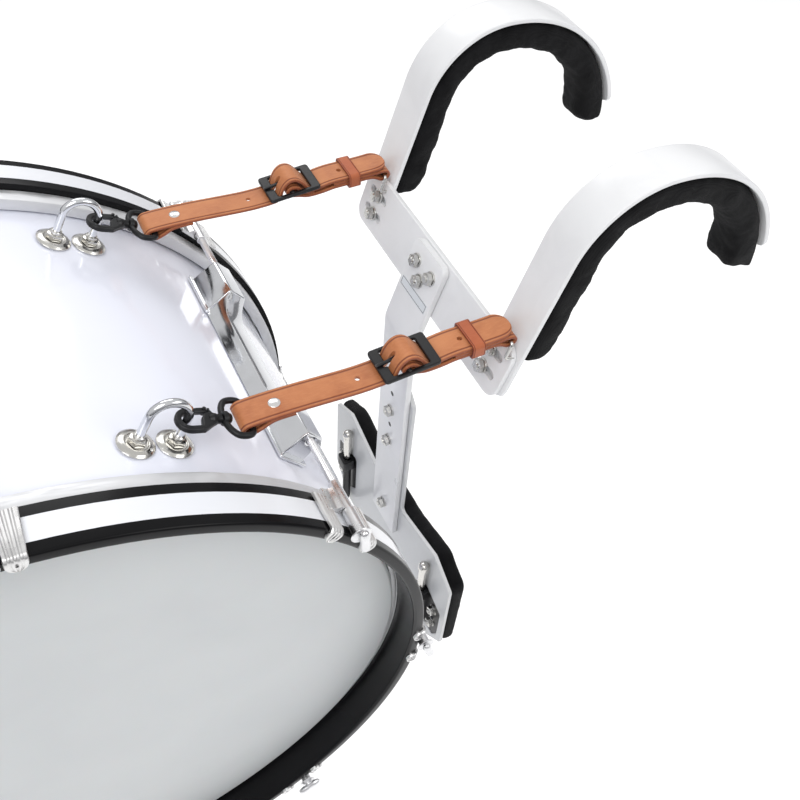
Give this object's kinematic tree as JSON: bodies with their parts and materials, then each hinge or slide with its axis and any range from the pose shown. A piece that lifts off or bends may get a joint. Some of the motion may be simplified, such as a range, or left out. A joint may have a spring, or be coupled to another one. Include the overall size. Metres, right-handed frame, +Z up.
{
  "type": "marching bass drum with shoulder carrier",
  "caption": "Marching bass drum with a glossy white shell, black hoops and key rods, hung by snap hooks and buckled leather straps on a padded shoulder carrier.",
  "frame": {"origin": "on the wearer's shoulders, midway between the two arches and level with their underside", "axes": "+Z is up, +X points from the drum to the wearer, and Y runs along the drum's axis from the near head to the far head"},
  "size_m": [0.9708, 0.3902, 0.7237],
  "materials": {
    "shell_lacquer": "wood under a glossy white lacquer",
    "head_film": "smooth grey-white film",
    "flesh_hoop": "satin",
    "hoop_lacquer": "wood under a glossy black lacquer with a white inlay",
    "chrome": "polished",
    "plated_steel": "nickel plated",
    "black_hardware": "black coat, satin",
    "leather": "tan, with creased edges",
    "keeper_leather": "reddish tan",
    "carrier_paint": "aluminium plate under white paint",
    "pad_foam": "black cloth over foam"
  },
  "bodies": {
    "frame": {"shell": "shell_lacquer", "air_vent": "chrome", "head_film_near": "head_film", "head_film_far": "head_film", "flesh_hoop_near": "flesh_hoop", "flesh_hoop_far": "flesh_hoop", "hoop_near": "hoop_lacquer", "hoop_far": "hoop_lacquer", "lug_1": "chrome", "lug_2": "chrome", "lug_3": "chrome", "lug_4": "chrome", "lug_5": "chrome", "lug_6": "chrome", "lug_7": "chrome", "lug_8": "chrome", "handle_near": "chrome", "handle_far": "chrome", "strap_long_near": "leather", "strap_long_far": "leather", "strap_short_near": "leather", "strap_short_far": "leather", "buckle_near": "black_hardware", "buckle_far": "black_hardware", "spine": "carrier_paint", "crossbar": "carrier_paint", "belly_plate": "carrier_paint", "belly_pad": "pad_foam"},
    "rod_near_1": {"tension_rod_near_1": "chrome"},
    "rod_near_2": {"tension_rod_near_2": "chrome"},
    "rod_near_3": {"tension_rod_near_3": "chrome"},
    "rod_near_4": {"tension_rod_near_4": "chrome"},
    "rod_near_5": {"tension_rod_near_5": "chrome"},
    "rod_near_6": {"tension_rod_near_6": "chrome"},
    "rod_near_7": {"tension_rod_near_7": "chrome"},
    "rod_near_8": {"tension_rod_near_8": "chrome"},
    "rod_far_1": {"tension_rod_far_1": "chrome"},
    "rod_far_2": {"tension_rod_far_2": "chrome"},
    "rod_far_3": {"tension_rod_far_3": "chrome"},
    "rod_far_4": {"tension_rod_far_4": "chrome"},
    "rod_far_5": {"tension_rod_far_5": "chrome"},
    "rod_far_6": {"tension_rod_far_6": "chrome"},
    "rod_far_7": {"tension_rod_far_7": "chrome"},
    "rod_far_8": {"tension_rod_far_8": "chrome"},
    "ring_near": {"hook_loop_near": "black_hardware"},
    "ring_far": {"hook_loop_far": "black_hardware"},
    "snap_near": {"hook_near": "black_hardware"},
    "snap_far": {"hook_far": "black_hardware"},
    "gate_near": {"hook_gate_near": "black_hardware"},
    "gate_far": {"hook_gate_far": "black_hardware"},
    "prong_near": {"buckle_prong_near": "black_hardware"},
    "prong_far": {"buckle_prong_far": "black_hardware"},
    "loop_near": {"keeper_near": "keeper_leather"},
    "loop_far": {"keeper_far": "keeper_leather"},
    "shoulder_near": {"arm_near": "carrier_paint", "arm_pad_near": "pad_foam"},
    "shoulder_far": {"arm_far": "carrier_paint", "arm_pad_far": "pad_foam"},
    "carry_near": {"j_rod_near": "plated_steel"},
    "carry_far": {"j_rod_far": "plated_steel"}
  },
  "joints": [
    {"name": "rod_near_1_turn", "type": "hinge", "parent": "frame", "child": "rod_near_1", "pos_m": [-0.26141, -0.19, -0.14883], "axis": [0, 1, 0], "continuous": true},
    {"name": "rod_near_2_turn", "type": "hinge", "parent": "frame", "child": "rod_near_2", "pos_m": [-0.19019, -0.19, -0.38924], "axis": [0, 1, 0], "continuous": true},
    {"name": "rod_near_3_turn", "type": "hinge", "parent": "frame", "child": "rod_near_3", "pos_m": [-0.30983, -0.19, -0.60959], "axis": [0, 1, 0], "continuous": true},
    {"name": "rod_near_4_turn", "type": "hinge", "parent": "frame", "child": "rod_near_4", "pos_m": [-0.55024, -0.19, -0.68081], "axis": [0, 1, 0], "continuous": true},
    {"name": "rod_near_5_turn", "type": "hinge", "parent": "frame", "child": "rod_near_5", "pos_m": [-0.77059, -0.19, -0.56117], "axis": [0, 1, 0], "continuous": true},
    {"name": "rod_near_6_turn", "type": "hinge", "parent": "frame", "child": "rod_near_6", "pos_m": [-0.84181, -0.19, -0.32076], "axis": [0, 1, 0], "continuous": true},
    {"name": "rod_near_7_turn", "type": "hinge", "parent": "frame", "child": "rod_near_7", "pos_m": [-0.72217, -0.19, -0.10041], "axis": [0, 1, 0], "continuous": true},
    {"name": "rod_near_8_turn", "type": "hinge", "parent": "frame", "child": "rod_near_8", "pos_m": [-0.48176, -0.19, -0.02919], "axis": [0, 1, 0], "continuous": true},
    {"name": "rod_far_1_turn", "type": "hinge", "parent": "frame", "child": "rod_far_1", "pos_m": [-0.26141, 0.19, -0.14883], "axis": [0, 1, 0], "continuous": true},
    {"name": "rod_far_2_turn", "type": "hinge", "parent": "frame", "child": "rod_far_2", "pos_m": [-0.19019, 0.19, -0.38924], "axis": [0, 1, 0], "continuous": true},
    {"name": "rod_far_3_turn", "type": "hinge", "parent": "frame", "child": "rod_far_3", "pos_m": [-0.30983, 0.19, -0.60959], "axis": [0, 1, 0], "continuous": true},
    {"name": "rod_far_4_turn", "type": "hinge", "parent": "frame", "child": "rod_far_4", "pos_m": [-0.55024, 0.19, -0.68081], "axis": [0, 1, 0], "continuous": true},
    {"name": "rod_far_5_turn", "type": "hinge", "parent": "frame", "child": "rod_far_5", "pos_m": [-0.77059, 0.19, -0.56117], "axis": [0, 1, 0], "continuous": true},
    {"name": "rod_far_6_turn", "type": "hinge", "parent": "frame", "child": "rod_far_6", "pos_m": [-0.84181, 0.19, -0.32076], "axis": [0, 1, 0], "continuous": true},
    {"name": "rod_far_7_turn", "type": "hinge", "parent": "frame", "child": "rod_far_7", "pos_m": [-0.72217, 0.19, -0.10041], "axis": [0, 1, 0], "continuous": true},
    {"name": "rod_far_8_turn", "type": "hinge", "parent": "frame", "child": "rod_far_8", "pos_m": [-0.48176, 0.19, -0.02919], "axis": [0, 1, 0], "continuous": true},
    {"name": "ring_near_swing", "type": "hinge", "parent": "frame", "child": "ring_near", "pos_m": [-0.309, -0.104, -0.08945], "axis": [0, 1, 0], "range_deg": [-3, 3]},
    {"name": "ring_far_swing", "type": "hinge", "parent": "frame", "child": "ring_far", "pos_m": [-0.309, 0.104, -0.08945], "axis": [0, 1, 0], "range_deg": [-3, 3]},
    {"name": "snap_near_swivel", "type": "hinge", "parent": "ring_near", "child": "snap_near", "pos_m": [-0.34763, -0.104, -0.07319], "axis": [0.9217, 0, -0.388], "range_deg": [-8, 8]},
    {"name": "snap_far_swivel", "type": "hinge", "parent": "ring_far", "child": "snap_far", "pos_m": [-0.34763, 0.104, -0.07319], "axis": [0.9217, 0, -0.388], "range_deg": [-8, 8]},
    {"name": "gate_near_open", "type": "hinge", "parent": "snap_near", "child": "gate_near", "pos_m": [-0.33482, -0.09625, -0.07858], "axis": [0.388, 0, 0.9217], "range_deg": [0, 20], "stiffness_Nm_per_rad": 0.03, "springref_deg": -17.19},
    {"name": "gate_far_open", "type": "hinge", "parent": "snap_far", "child": "gate_far", "pos_m": [-0.33482, 0.11175, -0.07858], "axis": [0.388, 0, 0.9217], "range_deg": [0, 20], "stiffness_Nm_per_rad": 0.03, "springref_deg": -17.19},
    {"name": "prong_near_lift", "type": "hinge", "parent": "frame", "child": "prong_near", "pos_m": [-0.194, -0.104, -0.0835], "axis": [0, 1, 0], "range_deg": [0, 8]},
    {"name": "prong_far_lift", "type": "hinge", "parent": "frame", "child": "prong_far", "pos_m": [-0.194, 0.104, -0.0835], "axis": [0, 1, 0], "range_deg": [0, 8]},
    {"name": "loop_near_slide", "type": "slide", "parent": "frame", "child": "loop_near", "axis": [1, 0, 0], "range_m": [-0.01, 0.01]},
    {"name": "loop_far_slide", "type": "slide", "parent": "frame", "child": "loop_far", "axis": [1, 0, 0], "range_m": [-0.01, 0.01]},
    {"name": "shoulder_near_slide", "type": "slide", "parent": "frame", "child": "shoulder_near", "axis": [0, 1, 0], "range_m": [-0.008, 0.008]},
    {"name": "shoulder_far_slide", "type": "slide", "parent": "frame", "child": "shoulder_far", "axis": [0, 1, 0], "range_m": [-0.008, 0.008]},
    {"name": "carry_near_slide", "type": "slide", "parent": "frame", "child": "carry_near", "axis": [0, 0, 1], "range_m": [-0.02, 0.02]},
    {"name": "carry_far_slide", "type": "slide", "parent": "frame", "child": "carry_far", "axis": [0, 0, 1], "range_m": [-0.02, 0.02]}
  ]
}
